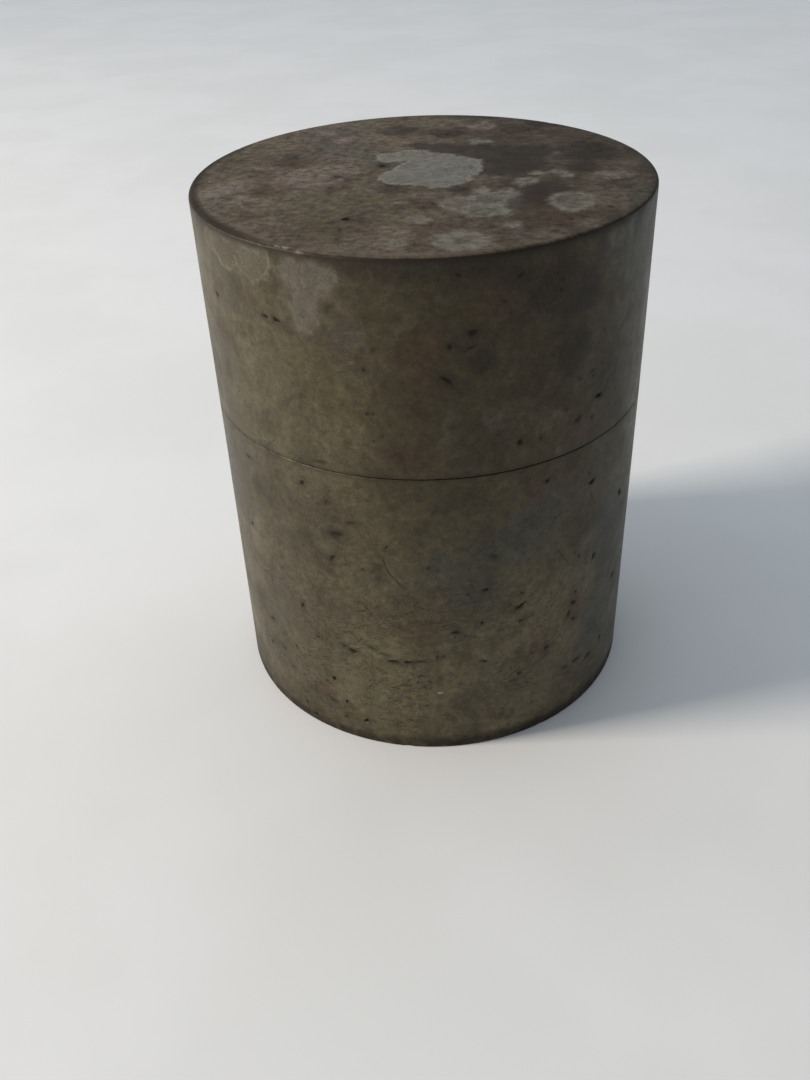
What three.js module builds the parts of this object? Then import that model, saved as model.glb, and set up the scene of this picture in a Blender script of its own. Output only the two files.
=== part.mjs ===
// A round pewter tea canister. A deep outer lid slides down over a neck and meets the body in a hairline
// seam, flush with it, and an inner lid with a knob plugs the neck. Each piece is cast and turned on its
// own, and the pieces of the body and of each lid are soldered together.
//
// Millimetres, +Z up. The origin is on the canister's axis, in the plane that its foot stands on.
import * as THREE from "three";

// The outside
const outerRadius = 48;
const overallHeight = 119;
const seamHeight = 74.2; // middle of the seam between the body and the outer lid
const seamGap = 0.3;
const seamChamfer = 0.2; // breaks the two edges that meet at the seam
const rimRound = 1.2; // the lid's top edge
const footRound = 0.8; // the body's bottom edge

// How the pieces fit together
const solderFilm = 0.05; // between two pieces that are soldered together
const slidingGap = 0.2; // radial, between a lid and what it slides on
const seatGap = 0.1; // under the inner lid where it rests on the neck

// The outer lid
const lidWall = 2.4;
const lidBore = outerRadius - lidWall;
const topPlateThickness = 2.4;
const topRebateRadius = outerRadius - 1.4; // the step in the lid's wall that the top plate sits in

// The neck, soldered into the body and standing up inside the outer lid
const neckOuterRadius = lidBore - slidingGap;
const neckWall = 1.8;
const neckBore = neckOuterRadius - neckWall;
const neckBottom = seamHeight - 16;
const neckTop = seamHeight + 30;
const neckLeadIn = 0.8; // chamfer that guides the outer lid on

// The body
const bodyBore = neckOuterRadius + solderFilm;
const footBore = bodyBore - 2; // a ledge inside the wall's lower end, on which the base plate sits
const footLedgeHeight = 1.2;
const basePlateThickness = 2.6;

// The inner lid
const innerPlateRadius = neckOuterRadius - 0.2;
const innerPlateThickness = 1.6;
const innerPlateBottom = neckTop + seatGap;
const innerPlateTop = innerPlateBottom + innerPlateThickness;
const innerPlateRound = 0.5;
const beadRadius = 38; // a half-round bead turned on the inner lid's plate
const beadHalfWidth = 0.9;
const skirtOuterRadius = neckBore - slidingGap;
const skirtWall = 1.4;
const skirtDepth = 9;
const skirtLeadIn = 0.5;

// The inner lid's knob
const knobFootRadius = 5.5;
const knobFootHeight = 0.9;
const knobWaistRadius = 3.2;
const knobButtonRadius = 8.5;
const knobButtonRound = 1.6; // half the thickness of the button's edge
const knobHeight = 8.6;
const knobDome = 0.9; // how far the button's top rises in the middle

const stepsAround = 72;
const stepsPerQuarterArc = 4;
const quarter = Math.PI / 2;

const tarnishedPewter = new THREE.MeshStandardMaterial({ color: 0x57524a, roughness: 0.55, metalness: 0.7 });
const brightPewter = new THREE.MeshStandardMaterial({ color: 0x9a978f, roughness: 0.38, metalness: 0.9 });

// A round corner: an arc about (r, z) between two angles, anticlockwise in the plane of radius and height.
function corner(outline, r, z, radius, from, to) {
  const start = [r + radius * Math.cos(from), z + radius * Math.sin(from)];
  outline.lineTo(...start);
  outline.absarc(r, z, radius, from, to, false);
}

// A piece turned about the Z axis. Its outline runs anticlockwise in the plane of radius and height.
function turned(name, material, outline) {
  const points = outline.getPoints(stepsPerQuarterArc / 2);
  const closed = points[0].x === 0 ? points : [...points, points[0].clone()];
  const geometry = new THREE.LatheGeometry(closed, stepsAround);
  geometry.rotateX(quarter); // a lathe turns about Y, and the canister stands on Z
  const mesh = new THREE.Mesh(geometry, material);
  mesh.name = name;
  return mesh;
}

// The body's wall: a tube with a ledge inside its lower end. The canister stands on the ledge's underside.
function bodyWall() {
  const top = seamHeight - seamGap / 2;
  const outline = new THREE.Path();
  outline.moveTo(footBore, 0);
  corner(outline, outerRadius - footRound, footRound, footRound, -quarter, 0);
  outline.lineTo(outerRadius, top - seamChamfer);
  outline.lineTo(outerRadius - seamChamfer, top);
  outline.lineTo(bodyBore, top);
  outline.lineTo(bodyBore, footLedgeHeight);
  outline.lineTo(footBore, footLedgeHeight);
  return turned("body_wall", tarnishedPewter, outline);
}

// The base: a disc soldered onto the ledge, so that it clears the surface that the canister stands on.
function basePlate() {
  const radius = bodyBore - solderFilm;
  const bottom = footLedgeHeight + solderFilm;
  const outline = new THREE.Path();
  outline.moveTo(0, bottom);
  outline.lineTo(radius, bottom);
  outline.lineTo(radius, bottom + basePlateThickness);
  outline.lineTo(0, bottom + basePlateThickness);
  return turned("base_plate", tarnishedPewter, outline);
}

// The neck: a thin sleeve whose lower end is soldered inside the body's wall.
function neckRing() {
  const outline = new THREE.Path();
  outline.moveTo(neckBore, neckBottom);
  outline.lineTo(neckOuterRadius, neckBottom);
  outline.lineTo(neckOuterRadius, neckTop - neckLeadIn);
  outline.lineTo(neckOuterRadius - neckLeadIn / 2, neckTop);
  outline.lineTo(neckBore, neckTop);
  return turned("neck_ring", brightPewter, outline);
}

// The inner lid's plate, which rests on the neck's rim.
function innerLidPlate() {
  const edge = innerPlateRadius - innerPlateRound;
  const outline = new THREE.Path();
  outline.moveTo(0, innerPlateBottom);
  outline.lineTo(innerPlateRadius, innerPlateBottom);
  corner(outline, edge, innerPlateTop - innerPlateRound, innerPlateRound, 0, quarter);
  corner(outline, beadRadius, innerPlateTop, beadHalfWidth, 0, 2 * quarter);
  outline.lineTo(0, innerPlateTop);
  return turned("inner_lid_plate", brightPewter, outline);
}

// The inner lid's skirt, which plugs into the neck.
function innerLidSkirt() {
  const top = innerPlateBottom - solderFilm;
  const bottom = top - skirtDepth;
  const outline = new THREE.Path();
  outline.moveTo(skirtOuterRadius - skirtWall, bottom);
  outline.lineTo(skirtOuterRadius - skirtLeadIn, bottom);
  outline.lineTo(skirtOuterRadius, bottom + skirtLeadIn);
  outline.lineTo(skirtOuterRadius, top);
  outline.lineTo(skirtOuterRadius - skirtWall, top);
  return turned("inner_lid_skirt", brightPewter, outline);
}

// The inner lid's knob: a foot, a waist and a slightly domed button.
function innerLidKnob() {
  const bottom = innerPlateTop + solderFilm;
  const footTop = bottom + knobFootHeight;
  const buttonMiddle = bottom + knobHeight - knobDome - knobButtonRound;
  const outline = new THREE.Path();
  outline.moveTo(0, bottom);
  outline.lineTo(knobFootRadius, bottom);
  outline.lineTo(knobFootRadius, footTop);
  outline.lineTo(knobWaistRadius, footTop + knobFootHeight);
  outline.lineTo(knobWaistRadius, buttonMiddle - knobButtonRound);
  corner(outline, knobButtonRadius - knobButtonRound, buttonMiddle, knobButtonRound, -quarter, quarter);
  outline.quadraticCurveTo(knobButtonRadius / 2, bottom + knobHeight, 0, bottom + knobHeight);
  return turned("inner_lid_knob", brightPewter, outline);
}

// The outer lid's wall: a tube with a step inside its top end for the top plate.
function lidWallRing() {
  const bottom = seamHeight + seamGap / 2;
  const ledge = overallHeight - topPlateThickness - solderFilm;
  const rim = outerRadius - rimRound;
  const outline = new THREE.Path();
  outline.moveTo(lidBore, bottom);
  outline.lineTo(outerRadius - seamChamfer, bottom);
  outline.lineTo(outerRadius, bottom + seamChamfer);
  corner(outline, rim, overallHeight - rimRound, rimRound, 0, quarter);
  outline.lineTo(topRebateRadius, overallHeight);
  outline.lineTo(topRebateRadius, ledge);
  outline.lineTo(lidBore, ledge);
  return turned("lid_wall", tarnishedPewter, outline);
}

// The outer lid's top: a flat disc, soldered in flush with the rim.
function lidTopPlate() {
  const radius = topRebateRadius - solderFilm;
  const outline = new THREE.Path();
  outline.moveTo(0, overallHeight - topPlateThickness);
  outline.lineTo(radius, overallHeight - topPlateThickness);
  outline.lineTo(radius, overallHeight);
  outline.lineTo(0, overallHeight);
  return turned("lid_top_plate", tarnishedPewter, outline);
}

function group(...pieces) {
  return new THREE.Group().add(...pieces);
}

const body = group(bodyWall(), basePlate(), neckRing());
const innerLid = group(innerLidPlate(), innerLidSkirt(), innerLidKnob());
const outerLid = group(lidWallRing(), lidTopPlate());

export default group(body, innerLid, outerLid);
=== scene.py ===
"""The looks of a round pewter tea canister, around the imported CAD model.

Every visible surface is rebuilt as a fine mesh with the marks of age modelled in it: casting pits, scratches,
a nick in the rim and slight unevenness. Lengths in this script are millimetres, and become metres only when a
mesh or camera is made; the light is given in metres. Round surfaces are measured by the angle from the front,
which faces -Y, in degrees towards +X, and by the height z. The flat top is measured by x and y.
"""

import math
from collections import namedtuple

import bmesh
import bpy
import numpy as np
from mathutils import Matrix, Vector


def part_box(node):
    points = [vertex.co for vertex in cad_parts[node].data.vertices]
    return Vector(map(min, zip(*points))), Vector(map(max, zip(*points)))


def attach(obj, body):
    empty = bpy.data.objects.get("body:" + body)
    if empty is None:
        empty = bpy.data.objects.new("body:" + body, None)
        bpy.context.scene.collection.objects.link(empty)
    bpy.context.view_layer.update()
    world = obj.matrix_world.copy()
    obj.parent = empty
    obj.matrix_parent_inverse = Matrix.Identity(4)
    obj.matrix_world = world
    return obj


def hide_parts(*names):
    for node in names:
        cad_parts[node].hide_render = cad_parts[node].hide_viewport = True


MM = 0.001

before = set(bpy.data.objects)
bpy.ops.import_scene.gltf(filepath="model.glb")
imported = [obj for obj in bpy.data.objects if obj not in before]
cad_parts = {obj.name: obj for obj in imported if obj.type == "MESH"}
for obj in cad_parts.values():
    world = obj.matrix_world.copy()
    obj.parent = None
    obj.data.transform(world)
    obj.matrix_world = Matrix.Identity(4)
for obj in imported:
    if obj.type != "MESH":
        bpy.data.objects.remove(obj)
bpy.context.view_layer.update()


def span(node):
    """A CAD node's outer radius, lowest z and highest z."""
    low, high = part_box(node)
    return high.x / MM, low.z / MM, high.z / MM


# Sizes from the CAD model
OUTER, _, BODY_TOP = span("body_wall")
_, LID_BOTTOM, TOP = span("lid_wall")
NECK_OUTER, NECK_BOTTOM, NECK_TOP = span("neck_ring")
BASE_RADIUS, BASE_BOTTOM, BASE_TOP = span("base_plate")
TOP_PLATE_RADIUS, CEILING, _ = span("lid_top_plate")
PLATE_RADIUS, PLATE_BOTTOM, _ = span("inner_lid_plate")
SKIRT_OUTER, SKIRT_BOTTOM, SKIRT_TOP = span("inner_lid_skirt")
KNOB_RADIUS, KNOB_BOTTOM, KNOB_TOP = span("inner_lid_knob")
SEAM = (BODY_TOP + LID_BOTTOM) / 2

# Sizes inside the CAD solids, which their boxes do not give
SOLDER_FILM = 0.05  # between two pieces that are soldered together
SLIDING_GAP = 0.2  # all round, between the neck and the outer lid
NECK_WALL = 1.8
SKIRT_WALL = 1.4
PLATE_THICKNESS = 1.6
FOOT_LEDGE = 1.2
FOOT_LEDGE_WIDTH = 2
KNOB_FOOT_RADIUS = 5.5
BEAD_RADIUS = 38
BEAD_HALF_WIDTH = 0.9
BODY_BORE = NECK_OUTER + SOLDER_FILM
FOOT_BORE = BODY_BORE - FOOT_LEDGE_WIDTH
NECK_BORE = NECK_OUTER - NECK_WALL
LID_BORE = NECK_OUTER + SLIDING_GAP
SKIRT_BORE = SKIRT_OUTER - SKIRT_WALL
PLATE_TOP = PLATE_BOTTOM + PLATE_THICKNESS

# Edges, and how far the canister is from true
ROUND_OF_RIM = 0.9
ROUND_OF_FOOT = 0.35
SEAM_EDGE = 0.09  # how far the two edges at the seam are broken
SEAM_CLOSE = 0.07  # the visible gap is narrower than the CAD model's by this much on each side
OUT_OF_ROUND = 0.10
LEAN = 0.25  # how far the lid's wall leans to one side by the rim
LEAN_TOWARDS = math.radians(-125)
WAVINESS = 0.035

# How fine the meshes are
COLUMNS = 336  # round the outside walls
NECK_COLUMNS = 288
PLATE_COLUMNS = 240
KNOB_COLUMNS = 144
CELL = 0.9  # spacing on the outside walls, before they are refined at the marks
TOP_CELL = 0.72
SIDE_MARGINS = (0.7, 0.35)  # how near to a mark the mesh is halved, the first time and the second
TOP_MARGINS = (0.6, 0.3)

NO_SPOT = -6.0  # the value of a spot's field far away from it
rng = np.random.default_rng(7)


# ---------------------------------------------------------------- the marks of age
# Casting pits and gouges on the side: angle, z, half length, half width, tilt in degrees, depth
SIDE_PITS = [
    (-29, 17, 0.55, 0.5, 0, 0.5), (-25.5, 10.8, 0.45, 0.42, 0, 0.45), (-19.8, 6.3, 0.62, 0.55, 0, 0.55),
    (-37, 2.2, 0.42, 0.38, 0, 0.35), (-26, 5.9, 0.55, 0.4, 20, 0.2), (-31.5, 15.3, 0.5, 0.3, 10, 0.18),
    (-29.5, 9.8, 0.9, 0.35, 5, 0.14), (-33, 69.5, 0.55, 0.75, 0, 0.25), (45, 64, 1, 0.6, 10, 0.45),
    (45, 84.3, 1.15, 0.5, 8, 0.4), (29.5, 69.5, 0.5, 0.45, 0, 0.3), (12.6, 36.8, 0.45, 0.35, 40, 0.35),
    (13.5, 45.7, 0.75, 0.6, 0, 0.22), (23, 39, 1.6, 0.55, 28, 0.3), (23.5, 42.5, 0.55, 0.45, 0, 0.2),
    (48.5, 43, 0.8, 0.9, 0, 0.28), (61.5, 54, 1.3, 0.75, -30, 0.35), (-38.8, 104.6, 1.1, 0.38, 0, 0.32),
    (-35.5, 104.5, 1.25, 0.45, -4, 0.4), (-58.5, 104.3, 0.85, 0.6, 0, 0.2), (10, 104.6, 1.3, 0.7, 30, 0.25),
    (5, 102.2, 0.55, 0.95, -10, 0.2), (9.4, 101.7, 0.95, 0.28, 15, 0.14), (4.4, 95.6, 1.45, 0.5, -35, 0.24),
    (21.5, 80.3, 0.8, 0.6, 20, 0.32), (38, 81.2, 1.6, 0.9, 10, 0.16), (43, 80.2, 0.4, 0.35, 0, 0.16),
    (27, 80, 0.45, 0.35, 0, 0.15), (-24, 59, 1.8, 0.9, 15, 0.16), (-20, 62.6, 1.4, 0.3, 5, 0.13),
    (-26, 52.4, 1.3, 0.7, 60, 0.18), (-26.3, 66.5, 1.1, 0.28, 60, 0.12), (5.6, 35, 1.25, 0.55, 8, 0.2),
    (-37.6, 35.8, 0.6, 0.95, -25, 0.2), (-22.2, 27.4, 0.95, 0.8, 0, 0.28),
    (-24.6, 28.5, 1.2, 0.24, -8, 0.14), (-11, 26.3, 1.6, 0.48, 0, 0.32), (-6.9, 26.5, 1.1, 0.45, 0, 0.3),
    (-3.3, 26.9, 1.3, 0.24, 5, 0.15), (0.8, 28.3, 0.22, 0.95, 0, 0.15), (2.4, 28.2, 0.2, 0.7, 0, 0.12),
    (-17, 29.6, 1.3, 0.25, -8, 0.14), (-13.5, 28.2, 1.3, 0.2, -8, 0.12), (13.3, 25.6, 1, 0.36, -30, 0.2),
    (44, 14.6, 1.3, 0.6, 10, 0.24), (50, 12.8, 1.6, 0.5, 15, 0.2), (56.3, 14.7, 0.32, 1.15, -15, 0.28),
    (39.7, 14.5, 0.95, 0.36, 5, 0.15), (-2.5, 13.4, 0.8, 0.32, 0, 0.14), (41.5, 28.5, 0.7, 0.5, 0, 0.24),
    (41, 33.4, 0.95, 0.8, 0, 0.24), (39.5, 31, 0.45, 0.8, 0, 0.2), (32, 24, 1.1, 0.9, 0, 0.15),
    (41.6, 36.2, 0.38, 0.38, 0, 0.2), (40.8, 38.2, 0.32, 0.32, 0, 0.16), (62, 30.5, 1.1, 0.9, 0, 0.16),
    (-52.5, 25, 1.3, 0.6, 10, 0.16), (-57, 50.2, 0.7, 0.5, 0, 0.16), (15.5, 54.2, 1.2, 0.6, -10, 0.14),
    (-53.5, 69.2, 1.2, 0.3, 5, 0.12), (42, 46, 0.9, 0.4, -60, 0.14), (43.6, 66.8, 0.4, 0.3, 0, 0.14),
    (7, 115.5, 0.7, 0.5, 0, 0.16), (20.5, 114.2, 0.9, 0.6, 30, 0.16), (-26.8, 75.9, 1.6, 0.22, -4, 0.16),
    (17, 109.8, 0.6, 0.5, 0, 0.12), (101, 88, 1.1, 0.6, 10, 0.3), (118, 61, 0.9, 0.7, 0, 0.34),
    (133, 22, 1.4, 0.5, -12, 0.26), (151, 97.5, 0.8, 0.6, 0, 0.28), (164, 48, 1.2, 0.9, 25, 0.2),
    (176, 12, 0.6, 0.5, 0, 0.45), (-171, 81, 1.3, 0.45, 8, 0.26), (-158, 33, 0.8, 0.6, 0, 0.34),
    (-139, 64, 1.6, 0.5, -20, 0.22), (-126, 105, 0.9, 0.5, 0, 0.26), (-112, 18, 0.6, 0.55, 0, 0.42),
    (-97, 52, 1.1, 0.6, 30, 0.2),
]

# Scratches on the side: half width, depth, then points of angle and z
SIDE_SCRATCHES = [
    (0.3, 0.1, [(-12.6, 56.2), (-11.9, 53.2), (-10.6, 50.6), (-8.2, 48.2), (-4.8, 46.2)]),
    (0.16, 0.07, [(-37.2, 20.5), (-33, 21.5), (-28.2, 22.7)]),
    (0.16, 0.07, [(-36.4, 21.6), (-32, 22.6), (-28, 23.7)]),
    (0.16, 0.08, [(-44.2, 75.1), (-42.2, 76.4), (-40.2, 77.8)]),
    (0.14, 0.06, [(-52.4, 75.9), (-49, 76.2), (-46.2, 76)]),
    (0.22, 0.07, [(-12.2, 78.6), (-8.6, 79.5), (-4.8, 80.9)]),
    (0.14, 0.06, [(1.4, 35.6), (2.8, 36), (4.4, 36.1)]),
    (0.24, 0.09, [(33.4, 51.6), (35.4, 48.8), (38.4, 45.6)]),
    (0.2, 0.07, [(30.6, 57.2), (32.8, 59.6), (36.2, 60.8)]),
    (0.26, 0.09, [(44.4, 62), (45.2, 60.6), (46, 59.2)]),
    (0.2, 0.05, [(-50, 41.6), (-49.4, 38.8), (-50, 35.6)]),
    (0.26, 0.04, [(-63, 41.6), (-57, 38.8), (-50, 38.8), (-43, 40.6)]),
    (0.12, 0.07, [(22.6, 14.9), (24.6, 14.7), (27.4, 14.8)]),
    (0.16, 0.06, [(-28.6, 65.6), (-27, 67.2), (-25, 69.2)]),
    (0.16, 0.05, [(9.4, 82), (11.4, 79.6), (13.8, 77)]),
    (0.14, 0.05, [(52, 27), (56, 25.4), (60, 26.2)]),
    (0.2, 0.07, [(96, 36), (104, 33), (113, 32.4)]),
    (0.18, 0.06, [(140, 84), (144, 90), (146, 95)]),
    (0.22, 0.07, [(-176, 60), (-168, 56), (-160, 55)]),
    (0.18, 0.06, [(-120, 80), (-113, 83), (-105, 83.6)]),
]

# Spots of tarnish, by their kind. Side: angle, z, radius across, radius up. Top: x, y, radius.
SIDE_SPOTS = {
    "crust": [  # crisp pale crusts of oxide
        (-57.5, 116, 3, 2.6), (-53, 115, 3.4, 3), (-49.6, 114.5, 2.2, 2.6), (-46.8, 116, 2.2, 2),
        (-43, 114.4, 2.8, 3.1), (-39.8, 114.2, 2.5, 3.1), (-37.2, 115.8, 1.6, 2.2), (128, 116, 5, 4.5),
        (134.5, 114.8, 4, 4.2), (-144, 22, 3.4, 2.8), (-148, 24, 3, 2.6),
    ],
    "bloom": [  # smooth grey bloom
        (-29.8, 115, 2.9, 2.5), (-25.2, 114.4, 3.8, 3), (-21.4, 114.4, 2, 2), (-26.8, 110.6, 3.3, 3),
        (-27.8, 107.4, 2.7, 2.8), (-28.4, 105, 1.7, 1.8), (48, 116.6, 3, 2.6), (86, 112, 4.5, 5),
        (92, 108, 4, 4.4), (172, 113, 4.8, 4.4), (178, 108.5, 3.4, 4.2), (-91, 32, 2.6, 3),
        (-87, 29.6, 2.6, 2.2), (-84.5, 27.4, 1.5, 1.6),
    ],
    "haze": [  # faint pale haze
        (-50.5, 105, 2.4, 2), (49, 115, 5, 4.2), (56, 112.6, 5.4, 5.6), (62, 110, 5, 5.6),
        (52, 108.6, 3.6, 3), (60, 104, 3.6, 3), (-70, 60, 8, 12), (110, 70, 8, 9), (-130, 90, 10, 8),
        (160, 30, 9, 8),
    ],
    "russet": [  # reddish brown
        (-44, 107.5, 4.6, 3), (-38, 103.5, 3, 2.4), (-33, 102.6, 2.4, 2), (18, 112, 4.6, 3.4),
        (12, 108, 3.4, 3), (36, 79, 4.4, 3.4), (-3, 79, 4.6, 3), (26, 67, 3.6, 3), (-5, 36, 6, 3.4),
        (40, 33, 3, 5), (-33, 12, 4, 3), (28, 27, 2.6, 2.4), (-1, 100, 5, 7), (-60, 97, 4, 3),
        (150, 60, 8, 5), (-165, 95, 6, 5), (100, 20, 7, 5), (-105, 68, 6, 6), (31.6, 43.8, 1.8, 1.5),
    ],
    "olive": [  # yellowish green
        (31.6, 43.8, 2.2, 2), (-28, 97, 5.5, 5), (-20, 90, 5.5, 6), (120, 40, 8, 7), (-150, 60, 9, 7),
    ],
    "slate": [  # bluish grey
        (20, 56, 8, 7), (30, 62, 7, 6), (6, 52, 8, 5), (55, 48, 6, 12), (52, 22, 6, 9), (10, 45, 6, 4),
        (2, 117.4, 7, 1.6), (-100, 90, 8, 7), (170, 75, 9, 6),
    ],
    "shade": [  # dark brown
        (-17, 116.6, 6, 1.4), (-5, 115.8, 6, 1.2), (8, 116.6, 5, 1.6), (21, 113.5, 4, 2.4), (30, 110, 6, 6),
        (-21.5, 109, 1.6, 1.6), (-25.5, 58.8, 1.8, 1.6), (35, 97, 4.6, 6), (12, 99, 2.4, 2.4),
        (4, 96, 2, 2.4), (37, 108, 5, 5), (-14, 51, 2, 3), (140, 108, 7, 5), (-110, 112, 8, 3),
    ],
    "mauve": [(-18, 104, 5, 4), (14, 86, 2, 2)],  # pinkish grey
    "smooth": [],  # tarnish without mottling
    "fleck": [  # bright specks of metal
        (1.3, 17.3, 0.75, 0.42), (-5.2, 11.2, 0.22, 0.3), (-38, 62.4, 0.3, 0.2),
    ],
}

# Pits and scratches on the top, with x and y in place of the angle and z
TOP_PITS = [
    (-14.5, -26.8, 0.95, 0.75, 10, 0.35), (-8.4, 6.4, 1.1, 0.8, 70, 0.16),
    (-17.6, -0.6, 1.2, 0.7, 20, 0.08), (-31, 9.5, 0.6, 0.4, 60, 0.12), (24.5, 31, 0.45, 0.4, 0, 0.14),
    (-22.8, -40.6, 0.5, 0.4, 20, 0.15), (33, 17, 0.5, 0.4, 0, 0.1), (6, 29, 0.6, 0.45, 30, 0.12),
    (-5, -17, 0.5, 0.4, 0, 0.1), (27, -31, 0.45, 0.4, 0, 0.12), (38.5, 12, 0.5, 0.35, 0, 0.1),
    (-37, -18, 0.5, 0.4, 0, 0.1),
]

TOP_SCRATCHES = [
    (0.14, 0.05, [(-33, 12), (-35, 17.5), (-36, 23)]),
    (0.12, 0.04, [(14, 43), (20, 42.6), (25, 41.4)]),
    (0.14, 0.05, [(-12, 30), (-5, 27), (3, 26.6)]),
    (0.12, 0.04, [(20, -36), (25, -33.5), (31, -32.6)]),
]

TOP_SPOTS = {
    "crust": [
        (-6.6, 12.6, 3.4), (-2, 13.4, 4.2), (3.6, 9.6, 4.6), (9, 6.6, 3.8), (2, 3, 7.6), (-2.4, -1.4, 5.6),
        (5.4, -3.6, 4.6), (3.2, -7.4, 2.9), (8.6, 1.6, 3.6), (-5.6, -2.6, 3.4),
    ],
    "bloom": [
        (7, -20, 4), (12.6, -18, 4), (16.4, -14.8, 2.5), (10.6, -24.4, 4), (14.6, -26, 2), (21, -7.2, 2.3),
        (23.8, -2.6, 1.6), (19.6, -9, 1.5), (27.6, -1.6, 1.4), (29.2, -4.6, 1.6), (11.6, -12.4, 2),
        (12, 23.6, 1.5), (14.8, 22.8, 1.1), (11.6, 20.9, 0.9), (28.6, -19.6, 4.6), (28, -23.6, 3.2),
        (-1, -28.4, 2.4), (9.9, -40.5, 1.6), (8.9, -38, 1.6), (6.4, -37, 1.6), (3.9, -38, 1.6),
        (2.9, -40.5, 1.7), (3.9, -43, 1.7), (6.4, -44, 1.6), (8.9, -42.9, 1.6), (-42.6, -7.6, 2.1),
        (-39.2, -5.8, 1.6), (-43.4, -10.8, 1.6), (-5.4, -41.2, 1.9), (-25.6, -0.6, 1.5), (16.2, -33, 1.8),
    ],
    "haze": [
        (33, -21, 4.4), (-35.5, 9, 4.4), (38.4, -5.4, 3.6), (40.6, -1, 3), (35, -8, 3), (41, -11, 3.4),
        (-3, -25.4, 3.4), (-1, 24, 6), (7, -40, 6), (-40, -16, 6), (-31, -29, 5), (-9, -38, 7), (13, -6, 4),
        (2, -14, 3), (-18, 16, 6), (-14, 4, 2.2), (-12.4, -3.6, 2.6), (-20.6, 4, 3), (36, -16, 5),
        (-36, 20, 5), (4, 40, 6), (-24, -5, 3.4), (22, -40, 5), (30, -33, 3.4),
    ],
    "russet": [
        (22, -20, 4.4), (21.4, -25.4, 4), (24.4, -13.6, 3.6), (17.6, -30.6, 3.6), (33.6, 0.6, 4.4),
        (37.6, 2.4, 2.6), (26, -30, 5), (33, -28, 4), (2, -35, 5), (12.6, 33, 7), (26, 30, 5), (34, 22, 5),
        (-28, 11, 4), (37, -14, 4), (-14, -31, 6), (0, -19, 4), (-30, -8, 5),
    ],
    "olive": [
        (-20, -18, 8), (-10, -15, 7), (-3, -22, 5), (-20, -26, 4.4), (-2, -27.6, 4), (6, 41, 6),
        (-12, 42, 5), (-40, 16, 6), (-15, -34, 6),
    ],
    "slate": [
        (-17, 20, 7), (-20, 33, 7), (-21, 26, 6), (-9, 8, 4), (-16, 14, 5), (14, -20, 7), (2, 2, 10),
        (42, -18, 5), (24, 42, 6),
    ],
    "shade": [
        (18, 12, 7.4), (20, 5, 6.6), (12, 16, 5.4), (5, 17.6, 4.4), (24, 14, 5.4), (15, 0, 3.4),
        (-8.2, 6, 1.7), (7.4, -11.6, 2.8), (-6, 34, 4.6), (6, 30, 3.6), (22.4, -17.6, 4.6), (25, -12, 4.2),
        (-17.6, -0.6, 1.8), (-6, -9.8, 3.4), (33, 1, 3.6), (-28.6, 15, 2.6), (6.4, -40.5, 1.8),
        (0, 20.4, 3.4), (30, 38, 6), (36, 12, 7),
    ],
    "mauve": [
        (-22, 0, 7.4), (-27, -3, 4.4), (-17, 4, 4), (-22, 34, 2.2), (-18, 28, 2.6), (39, -6, 3.2),
        (14, 36, 4), (-41.6, -7.6, 4.6), (-38, -4.4, 3.6),
    ],
    "smooth": [(18, 12, 8), (20, 5, 7), (22, -20, 6), (33, 0, 4), (24, -12, 4.4), (8, 16.6, 5)],
    "fleck": [(24.6, 41, 0.3)],
}

# Dents in the edges at the foot, at the seam and at the rim: angle, z, radius, depth
BODY_DENTS = [
    (-34, SEAM - 0.1, 1.1, 0.1), (18, SEAM - 0.1, 0.9, 0.12), (47, SEAM, 1.2, 0.1), (-8, 0.4, 1.4, 0.15),
    (31, 0.4, 1.1, 0.2), (-140, SEAM - 0.1, 1.3, 0.15), (100, 0.3, 1.5, 0.2),
]
LID_DENTS = [
    (-28.3, TOP - 0.4, 1.0, 0.35), (-20, TOP - 0.3, 1.6, 0.12), (24, TOP - 0.3, 1.3, 0.12),
    (-29, SEAM, 1.0, 0.1), (2, SEAM, 1.2, 0.1), (60, SEAM, 1.0, 0.12), (140, TOP - 0.4, 1.2, 0.25),
    (-120, TOP - 0.4, 1.0, 0.2),
]

# The marks of one surface, and how they colour it. gap gives the distance across the surface from a mark. A
# pit and a scratch are fully dark at these depths, and a scratch is dark by a share of what a pit is. A pit
# deeper than stain_from has a stain round it, twice as wide as the pit and wider still by stain_reach.
Marks = namedtuple(
    "Marks", "pits scratches spots gap dark_pit dark_scratch scratch_share stain_from stain_reach"
)


# ---------------------------------------------------------------- fields on a surface
def arc_of(angle):
    """The distance round the outside from the front, for an angle in degrees."""
    return math.radians(angle) * OUTER


def turn_of(x, y):
    """The angle of each point from the front, in radians."""
    return np.arctan2(x, -y)


def radius_of(co):
    return np.hypot(co[:, 0], co[:, 1])


def round_gap(along, middle):
    """The signed distance round the outside between points and a mark, the short way round."""
    turn = 2 * math.pi * OUTER
    return (along - middle + turn / 2) % turn - turn / 2


def flat_gap(across, middle):
    return across - middle


def ease(value, low, high):
    """0 below low, 1 above high, and smooth between. low may be the larger."""
    t = np.clip((value - low) / (high - low), 0, 1)
    return t * t * (3 - 2 * t)


def ease_turn(turn, low, high):
    """The same for an angle in radians, between two limits in degrees."""
    return ease(turn, math.radians(low), math.radians(high))


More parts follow.
